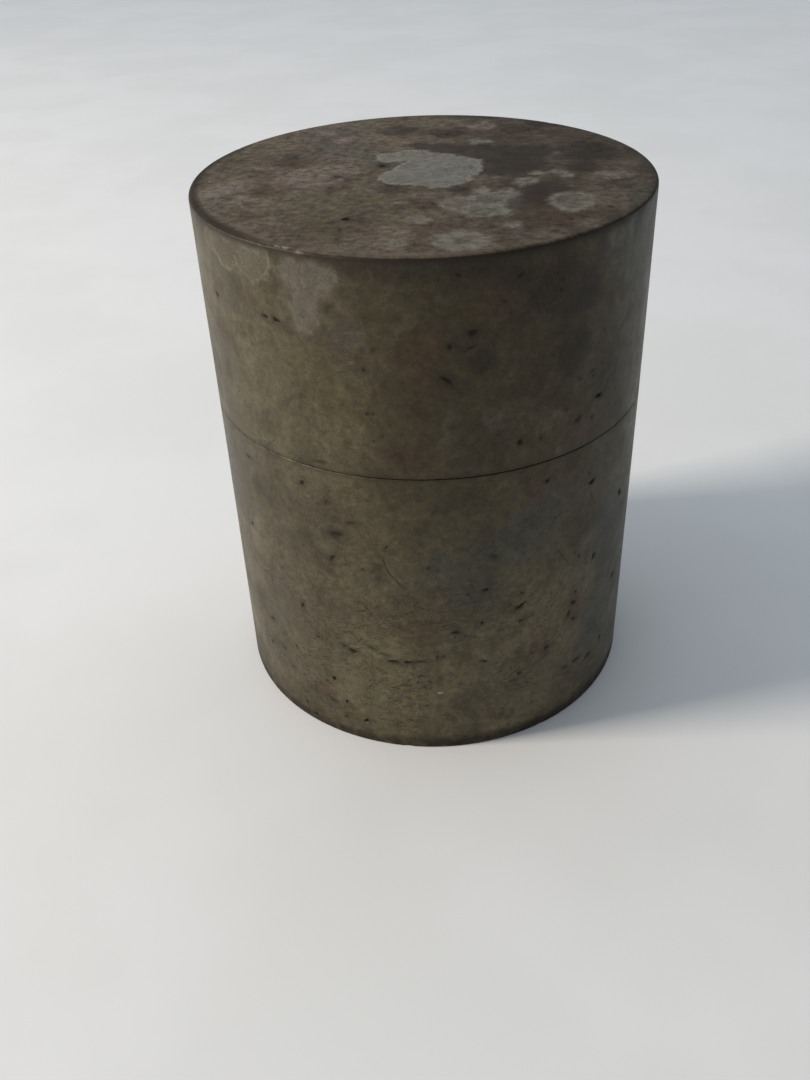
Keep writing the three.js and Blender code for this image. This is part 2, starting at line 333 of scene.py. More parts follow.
def pit_depth(a, b, pits, gap):
    """How deep the pits are at each point. Each has an uneven outline, a lip and a rounded bottom."""
    depth = np.zeros(len(a))
    for pit_a, pit_b, length, width, tilt, deep in pits:
        da, db = gap(a, pit_a), b - pit_b
        near = np.flatnonzero(np.maximum(abs(da), abs(db)) < 1.6 * max(length, width))
        if not len(near):
            continue
        c, s = math.cos(math.radians(tilt)), math.sin(math.radians(tilt))
        u = (da[near] * c + db[near] * s) / length
        v = (db[near] * c - da[near] * s) / width
        angle = np.arctan2(v, u)
        edge = 1 + 0.16 * np.sin(2 * angle + pit_b) + 0.12 * np.sin(3 * angle + pit_a)
        edge += 0.07 * np.sin(7 * angle)
        depth[near] = np.maximum(depth[near], deep * ease(np.hypot(u, v) / edge, 1.12, 0.25))
    return depth


def from_segment(a, b, start, end, gap):
    """How far along a segment each point lies, from 0 to 1, and how far away from it in mm."""
    da, db = gap(a, start[0]), b - start[1]
    ea, eb = gap(np.array([end[0]]), start[0])[0], end[1] - start[1]
    t = np.clip((da * ea + db * eb) / (ea * ea + eb * eb), 0, 1)
    return t, np.hypot(da - t * ea, db - t * eb)


def scratch_depth(a, b, scratches, gap):
    """How deep the scratches are at each point. Each is a V that runs out at both ends."""
    depth = np.zeros(len(a))
    for half_width, deep, points in scratches:
        for part, (start, end) in enumerate(zip(points, points[1:])):
            t, away = from_segment(a, b, start, end, gap)
            along = (part + t) / (len(points) - 1)
            fade = ease(along, 0, 0.2) * ease(along, 1, 0.75)
            depth = np.maximum(depth, deep * fade * np.clip(1 - away / half_width, 0, 1))
    return depth


def near_marks(a, b, marks, margin):
    """Which points lie within a margin of a pit or a scratch."""
    near = np.zeros(len(a), bool)
    for pit_a, pit_b, length, width, _, _ in marks.pits:
        near |= np.hypot(marks.gap(a, pit_a), b - pit_b) < max(length, width) + margin
    for half_width, _, points in marks.scratches:
        for start, end in zip(points, points[1:]):
            near |= from_segment(a, b, start, end, marks.gap)[1] < half_width + margin
    return near


def spot_field(a, b, spots, gap):
    """The distance in mm inside the nearest spot's edge, negative outside. Spots that touch run together."""
    field = np.full(len(a), NO_SPOT)
    for spot in spots:
        across, up = spot[2], spot[-1]
        rho = np.hypot(gap(a, spot[0]) / across, (b - spot[1]) / up)
        inside = (1 - rho) * min(across, up)
        high = np.maximum(field, inside)
        field = high + 0.5 * np.exp(-np.abs(field - inside) / 0.9)
    return np.clip(field, NO_SPOT, -NO_SPOT)


def with_arc(marks):
    """The same pits or spots, with each angle made a distance round the outside."""
    return [(arc_of(mark[0]), *mark[1:]) for mark in marks]


def scratches_with_arc(scratches):
    return [(w, d, [(arc_of(angle), z) for angle, z in points]) for w, d, points in scratches]


def small_side_pits(clusters):
    """Small pits at random, mostly low on the body and in loose clusters of four."""
    pits = []
    for _ in range(clusters):
        angle, z = rng.uniform(-180, 180), 117 * rng.beta(0.9, 1.7) + 1
        for _ in range(4):
            size = 0.14 + 0.26 * rng.random() ** 2
            spread = rng.normal(0, 3.2, 2)
            height = np.clip(z + spread[1], 1.5, TOP - 2)
            length, tilt, depth = size * rng.uniform(1, 2.2), rng.uniform(-40, 40), rng.uniform(0.06, 0.2)
            pits.append((angle + spread[0] * 1.2, height, length, size, tilt, depth))
    return pits


def small_top_pits(count):
    """Small shallow pits at random all over the top."""
    pits = []
    for _ in range(count):
        angle, radius = rng.uniform(0, 2 * math.pi), 45 * math.sqrt(rng.random())
        size = rng.uniform(0.15, 0.35)
        length, tilt, depth = size * rng.uniform(1, 2), rng.uniform(0, 180), rng.uniform(0.03, 0.06)
        pits.append((radius * math.cos(angle), radius * math.sin(angle), length, size, tilt, depth))
    return pits


side_marks = Marks(
    with_arc(SIDE_PITS + small_side_pits(80)), scratches_with_arc(SIDE_SCRATCHES),
    {kind: with_arc(spots) for kind, spots in SIDE_SPOTS.items()}, round_gap,
    dark_pit=0.3, dark_scratch=0.06, scratch_share=0.4, stain_from=0.115, stain_reach=0.5,
)
top_marks = Marks(
    TOP_PITS + small_top_pits(40), TOP_SCRATCHES, TOP_SPOTS, flat_gap,
    dark_pit=0.26, dark_scratch=0.05, scratch_share=0.3, stain_from=0.12, stain_reach=0.4,
)


def unevenness(x, y, z):
    """The slow waviness of metal that was cast, turned and knocked about: about -1 to 1."""
    return (
        0.45 * np.sin(x / 9.1 + 1.3) * np.sin(y / 8.3 + 0.4) * np.sin(z / 10.7 + 2.0)
        + 0.3 * np.sin(x / 4.7 + 0.2 + 0.6 * np.sin(z / 6.1)) * np.sin(z / 5.3 + 1.1 + 0.5 * np.sin(y / 5.9))
        + 0.25 * np.sin((x + y) / 3.1 + 0.8) * np.sin((z - x) / 3.7 + 0.3)
    )


def hollowed(relief, a, b, marks):
    """A surface's relief less its pits and scratches."""
    return relief - pit_depth(a, b, marks.pits, marks.gap) - scratch_depth(a, b, marks.scratches, marks.gap)


def side_relief(x, y, z):
    """How far the outside stands out from the true cylinder."""
    turn = turn_of(x, y)
    out_of_round = OUT_OF_ROUND * np.sin(turn) - OUT_OF_ROUND * np.cos(2 * turn)
    lean = LEAN * np.cos(turn - LEAN_TOWARDS) * np.clip((z - SEAM) / (TOP - SEAM), 0, 1)
    worn = out_of_round + lean + WAVINESS * unevenness(x, y, z)
    return hollowed(worn, turn * OUTER, z, side_marks)


def top_relief(x, y):
    """How far the top stands up from the true plane."""
    raised = 0.02 * ease(spot_field(x, y, TOP_SPOTS["crust"], flat_gap), -0.3, 0.5)
    worn = WAVINESS * unevenness(x, y, 5.0) * ease(np.hypot(x, y), OUTER, OUTER - 6)
    return hollowed(worn + raised, x, y, top_marks)


# ---------------------------------------------------------------- building meshes
def line(start, end, step):
    """Points from start up to but not including end, no further apart than step."""
    (r, z), (end_r, end_z) = start, end
    count = max(1, math.ceil(math.dist(start, end) / step))
    return [(r + (end_r - r) * i / count, z + (end_z - z) * i / count) for i in range(count)]


def bend(r, z, radius, start, end, count):
    """Points on a round corner about (r, z), between two angles in degrees, both ends included."""
    angles = [math.radians(start + (end - start) * i / count) for i in range(count + 1)]
    return [(r + radius * math.cos(a), z + radius * math.sin(a)) for a in angles]


def outline(*corners):
    """A closed outline in the plane of r and z. Each corner is (r, z, spacing up to the next corner)."""
    points = []
    for (r, z, step), (next_r, next_z, _) in zip(corners, corners[1:] + corners[:1]):
        points += line((r, z), (next_r, next_z), step)
    return points


def ring_of(bm, r, z, count):
    """New vertices evenly round a circle about Z, from the front towards +X."""
    angles = [2 * math.pi * i / count for i in range(count)]
    return [bm.verts.new((r * math.sin(a), -r * math.cos(a), z)) for a in angles]


def band(bm, low, high):
    """Adds the faces between two rings of equal length. A ring may be one vertex repeated."""
    for i in range(len(low)):
        j = (i + 1) % len(low)
        corners = [low[i], low[j], high[j], high[i]]
        bm.faces.new(list(dict.fromkeys(corners)))


def lathe(points, columns=COLUMNS):
    """A bmesh turned about Z from an anticlockwise outline. Points on the axis become one vertex."""
    bm = bmesh.new()
    rows = []
    for r, z in points:
        on_axis = r < 1e-6
        rows.append([bm.verts.new((0, 0, z))] * columns if on_axis else ring_of(bm, r, z, columns))
    for low, high in zip(rows, rows[1:] + rows[:1]):
        if not (low[0] is low[1] and high[0] is high[1]):
            band(bm, low, high)
    bm.normal_update()
    return bm


def disc(bm, radius, z, cell, up):
    """Adds a flat disc of nearly even triangles, and returns the vertices round its edge."""
    rings = math.ceil(radius / cell)
    rows = [[bm.verts.new((0, 0, z))]]
    for ring in range(1, rings + 1):
        rows.append(ring_of(bm, radius * ring / rings, z, 6 * ring))
    for ring in range(1, rings + 1):
        inner, outer = rows[ring - 1], rows[ring]
        for o in range(6 * ring):
            side, i = divmod(o, ring)
            n = side * (ring - 1) + i
            tip, next_corner = inner[n % len(inner)], outer[(o + 1) % len(outer)]
            triangles = [[tip, outer[o], next_corner]]
            if i < ring - 1:
                triangles.append([tip, next_corner, inner[(n + 1) % len(inner)]])
            for triangle in triangles:
                bm.faces.new(triangle if up else triangle[::-1])
    return rows[-1]


def refine(bm, wanted, margins):
    """Halves the edges near the marks, once for each margin, so that small marks have enough mesh."""
    for margin in margins:
        edges = list(bm.edges)
        middles = np.array([(e.verts[0].co + e.verts[1].co) * 0.5 for e in edges])
        chosen = [edges[i] for i in np.flatnonzero(wanted(middles, margin))]
        bmesh.ops.subdivide_edges(bm, edges=chosen, cuts=1, use_grid_fill=True)


def set_fields(mesh, fields):
    """Gives a mesh its colour fields, one value of each at every vertex."""
    for name, values in fields.items():
        layer = mesh.attributes.new(name, "FLOAT", "POINT")
        layer.data.foreach_set("value", values.astype(np.float32))


def pick_materials(mesh, material_of):
    """Gives each face the material that material_of picks, by the face's centre in mm and its normal."""
    centres = np.empty(len(mesh.polygons) * 3)
    mesh.polygons.foreach_get("center", centres)
    normals = np.empty(len(mesh.polygons) * 3)
    mesh.polygons.foreach_get("normal", normals)
    index = material_of(centres.reshape(-1, 3) / MM, normals.reshape(-1, 3))
    mesh.polygons.foreach_set("material_index", index.astype(np.int32))


def finish_piece(name, bm, body, nodes, materials, material_of=None, fields=None, crease=35):
    """Makes an object from a bmesh in mm, with fields, materials and shading, and ties it to the frame."""
    bm.normal_update()
    mesh = bpy.data.meshes.new(name)
    bm.to_mesh(mesh)
    bm.free()
    flat = np.empty(len(mesh.vertices) * 3)
    mesh.vertices.foreach_get("co", flat)
    if fields:
        set_fields(mesh, fields(flat.reshape(-1, 3)))
    mesh.vertices.foreach_set("co", flat * MM)
    mesh.update()
    for material in materials:
        mesh.materials.append(material)
    if material_of:
        pick_materials(mesh, material_of)
    mesh.shade_smooth()
    mesh.set_sharp_from_angle(angle=math.radians(crease))
    piece = bpy.data.objects.new(name, mesh)
    bpy.context.scene.collection.objects.link(piece)
    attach(piece, body)
    if nodes:
        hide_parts(*nodes)
    return piece


def coordinates(bm):
    return np.array([v.co for v in bm.verts])


def move_to(bm, co):
    for vertex, place in zip(bm.verts, co):
        vertex.co = place


def side_wanted(middles, margin):
    """Which edges of an outside wall to halve: those on the outside that are near a mark."""
    along = turn_of(middles[:, 0], middles[:, 1]) * OUTER
    return (radius_of(middles) > OUTER - 0.4) & near_marks(along, middles[:, 2], side_marks, margin)


def wear_outside(bm, edge_dents):
    """Presses the marks and the unevenness into the outside, and dents into its edges."""
    co = coordinates(bm)
    x, y, z = co.T
    radius = np.hypot(x, y)
    moved = side_relief(x, y, z) * ease(radius, OUTER - 1.4, OUTER - 0.2)
    along = turn_of(x, y) * OUTER
    for angle, height, reach, deep in edge_dents:
        away = np.hypot(round_gap(along, arc_of(angle)), (z - height) * 1.3) / reach
        moved -= deep * ease(away, 1, 0.1) * (radius > OUTER - 2.5)
    scale = 1 + moved / np.maximum(radius, 1)
    co[:, 0] *= scale
    co[:, 1] *= scale
    move_to(bm, co)


# ---------------------------------------------------------------- colour fields
def rim_shade_band(x, y, z):
    """A dark ring of painted shade and dark reflection along the rim: widest on the left of the top, and a
    line elsewhere.
    """
    radius = np.hypot(x, y)
    left = ease_turn(np.abs(turn_of(x, y) - math.radians(-78)), 52, 22)
    on_flat = ease(radius, 45.9, 47.0) * (0.25 + 0.75 * left)
    on_edge = ease(radius, OUTER - 0.7, OUTER - 0.3) * ease(z, TOP - 2.2, TOP - 0.9)
    return np.where(z > TOP - 0.3, np.maximum(on_flat, on_edge), on_edge)


def rim_wear_and_highlight(x, y, z):
    """Worn metal along the edge of the rim, brightest in one short stretch left of the front, with a fainter
    painted highlight further towards the front.
    """
    angle = np.degrees(turn_of(x, y))
    bright = ease(np.abs(angle + 33.0), 7.0, 2.0)
    # painted highlight: the fainter stretch towards the front
    faint = ease(np.abs(angle + 18.0), 16.0, 6.0)
    edge = ease(np.hypot(np.hypot(x, y) - OUTER + 0.5, (z - TOP + 0.14)), 0.46, 0.08)
    return edge * np.maximum(0.1, np.maximum(0.85 * bright, 0.4 * faint))


def mark_fields(co, a, b, marks):
    """The fields that the side and the top share: spots, pits, the stains round pits, and the rim's."""
    gap, reach = marks.gap, marks.stain_reach
    fields = {kind: spot_field(a, b, spots, gap) for kind, spots in marks.spots.items()}
    stains = [
        (pit_a, pit_b, 2 * length + reach, 2 * width + reach, tilt, 1.0)
        for pit_a, pit_b, length, width, tilt, deep in marks.pits if deep > marks.stain_from
    ]
    pits = np.clip(pit_depth(a, b, marks.pits, gap) / marks.dark_pit, 0, 1)
    scratches = np.clip(scratch_depth(a, b, marks.scratches, gap) / marks.dark_scratch, 0, 1)
    fields["pit"] = pits + marks.scratch_share * scratches
    fields["halo"] = pit_depth(a, b, stains, gap)
    # painted shade and dark reflection: the dark ring along the rim
    fields["rim"] = rim_shade_band(*co.T)
    # metal worn through along the rim's edge, with a fainter painted highlight
    fields["wear_and_highlight"] = rim_wear_and_highlight(*co.T)
    return fields


def side_fields(co):
    """The colour fields of an outside wall: stains at the seam, darkening at the foot and under the rim that
    is partly stained and partly painted shade, partly painted shade higher up in front and to the right, and
    painted light low in front.
    """
    x, y, z = co.T
    turn = turn_of(x, y)
    fields = mark_fields(co, turn * OUTER, z, side_marks)
    fields["seam"] = ease(np.abs(z - SEAM), 1.6, 0.0)
    on_left = ease_turn(turn, 0, -30) * ease_turn(turn, -170, -130)
    # partly stained, partly painted contact shadow: darker at the foot, and up to 15 mm high on the left
    fields["foot"] = np.maximum(ease(z, 4.6, 1.5), 0.5 * ease(z, 15, 3) * on_left)
    fields["speckled"] = ease(z, 62, 30)
    # painted light: lighter low on the front, as the bright floor lights it
    fields["painted_low_front_light"] = ease(z, 60, 18) * ease_turn(np.abs(turn - math.radians(5)), 62, 35)
    # partly stained, partly painted shade: darker close under the rim, and higher up on the left
    fields["under_rim_stain_and_shade"] = np.maximum(ease(z, TOP - 7, TOP - 0.6), 0.5 * ease(z, 98, 111) * on_left)
    # partly painted shade: darker higher up over the front and right, and less so at the back
    in_front = ease_turn(turn, -26, -2) * ease_turn(turn, 110, 60)
    at_back = ease_turn(np.abs(turn), 120, 150)
    fields["dusk"] = np.maximum(in_front, 0.6 * at_back) * ease(z, 22, 92)
    return fields


def top_fields(co):
    """The colour fields of the top, darker towards the right and with a painted highlight as a pale edge in
    front.
    """
    x, y, _ = co.T
    fields = mark_fields(co, x, y, top_marks)
    fields["dusk"] = 0.95 * ease(x, -10, 24)
    # painted highlight: a paler band along the edge in front
    in_front = ease_turn(np.abs(turn_of(x, y) + math.radians(14)), 38, 22)
    fields["painted_edge_highlight"] = ease(np.hypot(x, y), 44.8, 46.8) * in_front
    return fields


def plain_fields(co):
    """The fields of a surface without marks."""
    return {kind: np.full(len(co), NO_SPOT) for kind in SIDE_SPOTS}


def on_top(co):
    """Whether each point is on the flat of the rim or the upper part of its rounding."""
    return (co[:, 2] > TOP - 0.35) & (radius_of(co) > LID_BORE)


def lid_fields(co):
    """The fields of the lid's wall, whose rim continues the top."""
    side, top, above = side_fields(co), top_fields(co), on_top(co)
    return {name: np.where(above, top.get(name, 0), side.get(name, 0)) for name in {**side, **top}}


# ---------------------------------------------------------------- materials
def add_node(tree, kind, inputs=None, **settings):
    """A new shader node with its settings. Each input is a value or another node's output to link from."""
    node = tree.nodes.new("ShaderNode" + kind)
    for name, value in settings.items():
        setattr(node, name, value)
    for key, value in (inputs or {}).items():
        if isinstance(value, bpy.types.NodeSocket):
            tree.links.new(value, node.inputs[key])
        else:
            node.inputs[key].default_value = value
    return node


class Shading:
    """One material's nodes, with short calls for the kinds this script uses. Positions are in mm."""

    def __init__(self, name):
        self.material = bpy.data.materials.new(name)
        self.material.use_nodes = True
        self.tree = self.material.node_tree
        self.tree.nodes.clear()
        place = self.add("TexCoord").outputs["Object"]
        self.place = self.add("VectorMath", {0: place, 3: 1 / MM}, operation="SCALE").outputs[0]

    def add(self, kind, inputs=None, **settings):
        return add_node(self.tree, kind, inputs, **settings)

    def math(self, operation, a, b=0.0, clamp=False):
        return self.add("Math", {0: a, 1: b}, operation=operation, use_clamp=clamp).outputs[0]

    def most(self, a, b):
        return self.math("MAXIMUM", a, b)

    def less(self, a, b, clamp=False):
        return self.math("SUBTRACT", a, b, clamp)

    def centred(self, noise):
        """A noise with its middle value moved to 0."""
        return self.less(noise, 0.5)

    def plus(self, *terms):
        total = terms[0]
        for term in terms[1:]:
            total = self.math("ADD", total, term)
        return total

    def times(self, *factors):
        product = factors[0]
        for factor in factors[1:]:
            product = self.math("MULTIPLY", product, factor)
        return product

    def plus_shares(self, start, *parts):
        """A value plus each part, which is another value and how much of it to add."""
        return self.plus(start, *(self.times(value, share) for value, share in parts))

    def ease(self, value, low, high, start=0.0, end=1.0):
        inputs = {"Value": value, "From Min": low, "From Max": high, "To Min": start, "To Max": end}
        return self.add("MapRange", inputs, interpolation_type="SMOOTHSTEP").outputs[0]

    def mix(self, amount, a, b):
        a, b = (c if isinstance(c, bpy.types.NodeSocket) else (*c, 1) for c in (a, b))
        return self.add("Mix", {0: amount, 6: a, 7: b}, data_type="RGBA").outputs[2]

    def scale_colour(self, colour, amount):
        """The colour made lighter or darker by a factor."""
        return self.add("VectorMath", {0: colour, 3: amount}, operation="SCALE").outputs[0]

    def multiply_add(self, place, factors, shift):
        inputs = {0: place, 1: factors, 2: shift}
        return self.add("VectorMath", inputs, operation="MULTIPLY_ADD").outputs[0]

    def field(self, name):
        return self.add("Attribute", attribute_name=name, attribute_type="GEOMETRY").outputs["Fac"]

    def raw_noise(self, place, scale, detail, output="Fac"):
        inputs = {"Vector": place, "Scale": scale, "Detail": detail}
        return self.add("TexNoise", inputs).outputs[output]

    def noise(self, size, detail=3.0, roughness=0.55, distortion=0.0, stretch=(1, 1, 1), shift=(0, 0, 0)):
        """Noise with lumps of about this size in mm, spread between about 0.3 and 0.7."""
        place = self.place
        if stretch != (1, 1, 1) or shift != (0, 0, 0):
            place = self.multiply_add(place, [1 / s for s in stretch], shift)
        inputs = {"Vector": place, "Scale": 1 / size, "Detail": detail, "Roughness": roughness}
        return self.add("TexNoise", {**inputs, "Distortion": distortion}).outputs["Fac"]

    def specks(self, cell, radius, share, shift=(0, 0, 0)):
        """Small uneven dots, in this share of cells of this size in mm."""
        wobble = self.raw_noise(self.place, 2.5, 2.0, "Color")
        place = self.multiply_add(wobble, (0.5, 0.5, 0.5), self.place)
        place = self.add("VectorMath", {0: place, 1: shift}, operation="ADD").outputs[0]
        dots = self.add("TexVoronoi", {"Vector": place, "Scale": 1 / cell})
        chance = self.add("SeparateXYZ", {0: dots.outputs["Color"]}).outputs[0]
        dot = self.ease(dots.outputs["Distance"], radius / cell, 0.5 * radius / cell)
        return self.times(dot, self.ease(chance, 1 - share, 1 - share + 0.02))

    def hairlines(self, size, stretch, shift, width=0.012):
        """Fine scratches: the lines where a stretched noise passes through its middle value."""
        drift = self.noise(size, detail=1.0, stretch=stretch, shift=shift, distortion=0.4)
        lines = self.ease(self.math("ABSOLUTE", self.centred(drift)), width, 0.0)
        broken = self.ease(self.noise(7.0, detail=2.0, shift=shift), 0.52, 0.62)
        return self.times(lines, broken)

    def strokes(self, width, length, tilt, low, high):
        """Short thin marks that lie at a tilt in degrees from level."""
        inputs = {"Vector": self.place, "Angle": math.radians(tilt)}
        tilted = self.add("VectorRotate", inputs, rotation_type="Y_AXIS").outputs[0]
        place = self.multiply_add(tilted, (1 / length, 1 / length, 1 / width), (tilt, 0, 0))
        return self.ease(self.raw_noise(place, 1.0, 1.5), low, high)

    def finish(self, colour, roughness, metallic, height, depth, **fixed):
        """Ends the nodes in one shader. depth is how far, in mm, the height field stands up where it is 1."""
        inputs = {"Height": height, "Strength": 1.0, "Distance": depth * MM}
        normal = self.add("Bump", inputs).outputs[0]
        inputs = {"Base Color": colour, "Roughness": roughness, "Metallic": metallic, "Normal": normal}
        shader = self.add("BsdfPrincipled", {**inputs, **fixed})
        self.add("OutputMaterial", {"Surface": shader.outputs[0]})
        return self.material


# Tones of the patina, linear: of the side, of the top, and the ones that both have
SIDE_TONES = {
    "base": (0.101, 0.083, 0.046), "other": (0.076, 0.06, 0.034), "light": (0.136, 0.115, 0.07),
    # dusk: on the side, partly the tone of painted shade
    "deep": (0.02, 0.014, 0.008), "dusk": (0.041, 0.029, 0.012), "slate": (0.05, 0.054, 0.042),
    "olive": (0.094, 0.077, 0.034), "russet": (0.062, 0.034, 0.018), "haze": (0.094, 0.091, 0.08),
    "bloom": (0.124, 0.105, 0.081), "crust": (0.134, 0.117, 0.087), "mauve": (0.092, 0.07, 0.052),
    "smudge": (0.04, 0.027, 0.012),
}
TOP_TONES = {
    "base": (0.122, 0.094, 0.065), "other": (0.092, 0.069, 0.046), "light": (0.168, 0.134, 0.1),
    "deep": (0.018, 0.012, 0.008), "dusk": (0.033, 0.025, 0.014), "slate": (0.066, 0.063, 0.05),
    "olive": (0.088, 0.077, 0.043), "russet": (0.052, 0.029, 0.018), "haze": (0.13, 0.106, 0.082),
    "bloom": (0.152, 0.14, 0.116), "crust": (0.202, 0.199, 0.177), "mauve": (0.188, 0.145, 0.122),
    "smudge": (0.058, 0.037, 0.022),
}
SHARED_TONES = {"pit": (0.019, 0.012, 0.006), "fleck": (0.3, 0.28, 0.24), "metal": (0.25, 0.23, 0.19)}

# Spots with soft edges: kind, where in mm from the edge they begin and are full, strength
SOFT_SPOTS = [
    ("slate", -1.5, 2.5, 0.55), ("olive", -1.5, 2.5, 0.55), ("russet", -1.2, 2.0, 0.5),
    ("mauve", -1.2, 2.0, 0.6),
]


class Patina(Shading):
    """Old tarnished pewter, laid on in coats that follow the colour fields of the mesh it is on."""

    def __init__(self, name, tones, shift):
        super().__init__(name)
        self.tones = {**SHARED_TONES, **tones}
        self.shift = shift
        self.broad = self.noise(24, detail=3, shift=shift)
        self.middle = self.noise(6.5, detail=5, roughness=0.6, distortion=0.6, shift=shift)
        self.fine = self.noise(1.7, detail=4, roughness=0.65, shift=shift)
        self.grain = self.noise(0.5, detail=2, shift=shift)
        self.blotch = self.noise(3.0, detail=6, roughness=0.75, distortion=1.2, shift=shift)
        edge = self.noise(2.6, detail=5, roughness=0.62, distortion=0.5)
        self.ragged = self.times(self.centred(edge), 5.0)
        self.soft = self.times(self.centred(self.noise(7.0, detail=4, roughness=0.6)), 11.0)

    def coat(self, tone, *factors):
        """Lays a tone over the colour so far, as strongly as the product of the factors."""
        self.colour = self.mix(self.times(*factors), self.colour, self.tones[tone])

    def scale(self, amount):
        """Makes the colour so far lighter or darker."""
        self.colour = self.scale_colour(self.colour, amount)

    def spot(self, kind, edge, low, high):
        """How much there is of a kind of spot, with its edge shifted in and out by a noise in mm."""
        return self.ease(self.math("ADD", self.field(kind), edge), low, high)


def lay_ground(p):
    """The tarnish in clouds of tone, with the spots that have soft edges, the darkening of the dusk field,
    which on the side is partly painted shade, and painted light low in front of the side.
    """
    p.colour = p.mix(p.ease(p.broad, 0.42, 0.6), p.tones["base"], p.tones["other"])
    # dusk is partly painted shade on the side, over its upper front and right
    dusk = p.times(p.field("dusk"), p.ease(p.middle, 0.25, 0.55, 0.75, 1.0))
    p.coat("dusk", dusk, 0.8)
    p.coat("deep", p.ease(p.middle, 0.5, 0.68), 0.31)
    pale = p.times(p.ease(p.middle, 0.46, 0.3), p.ease(dusk, 0.0, 1.0, 0.38, 0.13))
    p.coat("light", pale)
    for kind, low, high, strength in SOFT_SPOTS:
        p.coat(kind, p.spot(kind, p.soft, low, high), strength)
    p.haze = p.spot("haze", p.soft, -1.5, 2.5)
    p.coat("haze", p.haze, 0.5)
    shade = p.spot("shade", p.plus(p.ragged, p.times(p.soft, 0.3)), -1.0, 1.6)
    p.coat("deep", shade, 0.65)
    # painted light: lighter low on the front of the side
    p.scale(p.ease(p.field("painted_low_front_light"), 0, 1, 1.0, 1.25))


def stain_and_shade(p):
    """The dark stains at the seam, and the darkening under the rim and at the foot, partly stained and partly
    painted shade.
    """
    # partly stained, partly painted shade: darker under the rim
    under_rim_stain_and_shade = p.times(p.field("under_rim_stain_and_shade"), p.ease(p.middle, 0.34, 0.58))
    seam = p.times(p.field("seam"), p.ease(p.fine, 0.36, 0.62), p.ease(p.middle, 0.3, 0.6, 0.4, 1.0))
    # partly stained, partly painted contact shadow: darker at the foot
    p.foot = p.times(p.field("foot"), p.ease(p.noise(3.0, detail=5), 0.3, 0.55, 0.6, 1.0))
    # the seam's stains, with the partly painted shade under the rim and at the foot
    stains = p.most(p.times(under_rim_stain_and_shade, 0.45), p.most(p.times(seam, 0.75), p.times(p.foot, 0.92)))
    p.coat("deep", stains)


def oxidise(p, kind, raggedness, edge, inner_edge, patches, middle, paler):
    """Lays on a pale oxide with a paler line round each spot, and returns how much there is of it.

    middle is how fully the middles of the spots are covered.
    """
    inside = p.math("ADD", p.field(kind), p.times(p.ragged, raggedness))
    amount = p.ease(inside, *edge)
    ring = p.times(amount, p.ease(inside, *inner_edge))
    p.coat(kind, amount, p.ease(*patches), p.ease(ring, 0, 1, middle, 1.0))
    p.scale(p.ease(ring, 0, 1, 1.0, paler))
    return amount


def oxide_on(p):
    """How much oxide of either kind there is."""
    return p.most(p.crust, p.times(p.bloom, 0.8))


def mottle(p, strength):
    """Fine mottling, much weaker where the tarnish is smooth and where there is oxide."""
    p.rough_area = p.less(1.0, p.times(p.ease(p.field("smooth"), -0.5, 1.5), 0.85))
    mottles = p.plus(p.centred(p.fine), p.times(p.centred(p.blotch), 0.6))
    p.calm = p.less(1.0, p.times(oxide_on(p), 0.65))
    p.scale(p.plus(1.0, p.times(mottles, p.rough_area, p.calm, strength)))
    p.scale(p.ease(p.grain, 0.2, 0.8, 0.84, 1.16))


def scuff(p):
    """Ragged brown smudges and short strokes, in loose clusters."""
    p.speckled = p.ease(p.field("speckled"), 0, 1, 0.35, 1.0)
    cluster = p.ease(p.noise(11, detail=2, shift=p.shift), 0.4, 0.6, 0.25, 1.0)
    lumps = p.noise(2.2, detail=6, roughness=0.72, distortion=0.8, shift=(7, 7, 7))
    p.smudge = p.ease(lumps, 0.56, 0.66)
    p.coat("smudge", p.smudge, cluster, p.calm, 0.62)
    strokes = p.most(p.strokes(0.36, 2.2, 12, 0.62, 0.68), p.strokes(0.32, 1.8, -38, 0.645, 0.7))
    strokes = p.most(strokes, p.strokes(0.34, 2.6, 55, 0.66, 0.71))
    p.stroke = p.times(strokes, cluster, p.speckled, p.rough_area)
    p.coat("deep", p.stroke, 0.75)


def speckle(p):
    """Stains round the pits, dark specks, bright flecks and hairline scratches."""
    halo = p.times(p.field("halo"), p.ease(p.blotch, 0.4, 0.56))
    p.coat("deep", halo, 0.6)
    p.speck = p.times(p.specks(2.2, 0.36, 0.4), p.speckled, p.ease(p.middle, 0.35, 0.6, 0.5, 1.0))
    fine_speck = p.times(p.specks(1.1, 0.19, 0.36, shift=(31, 7, 3)), p.speckled)
    p.coat("deep", p.most(p.speck, fine_speck), 0.62)
    p.coat("fleck", p.specks(9.0, 0.26, 0.06, shift=(5, 51, 13)), 0.4)
    p.coat("fleck", p.ease(p.field("fleck"), -0.12, 0.1), 0.8)
    p.dark_line = p.hairlines(3.0, (1.0, 1.0, 0.16), (3, 5, 9))
    p.pale_line = p.hairlines(3.0, (0.3, 1.6, 0.5), (13, 2, 4), width=0.008)
    p.coat("deep", p.dark_line, 0.3)
    p.coat("light", p.pale_line, 0.28)


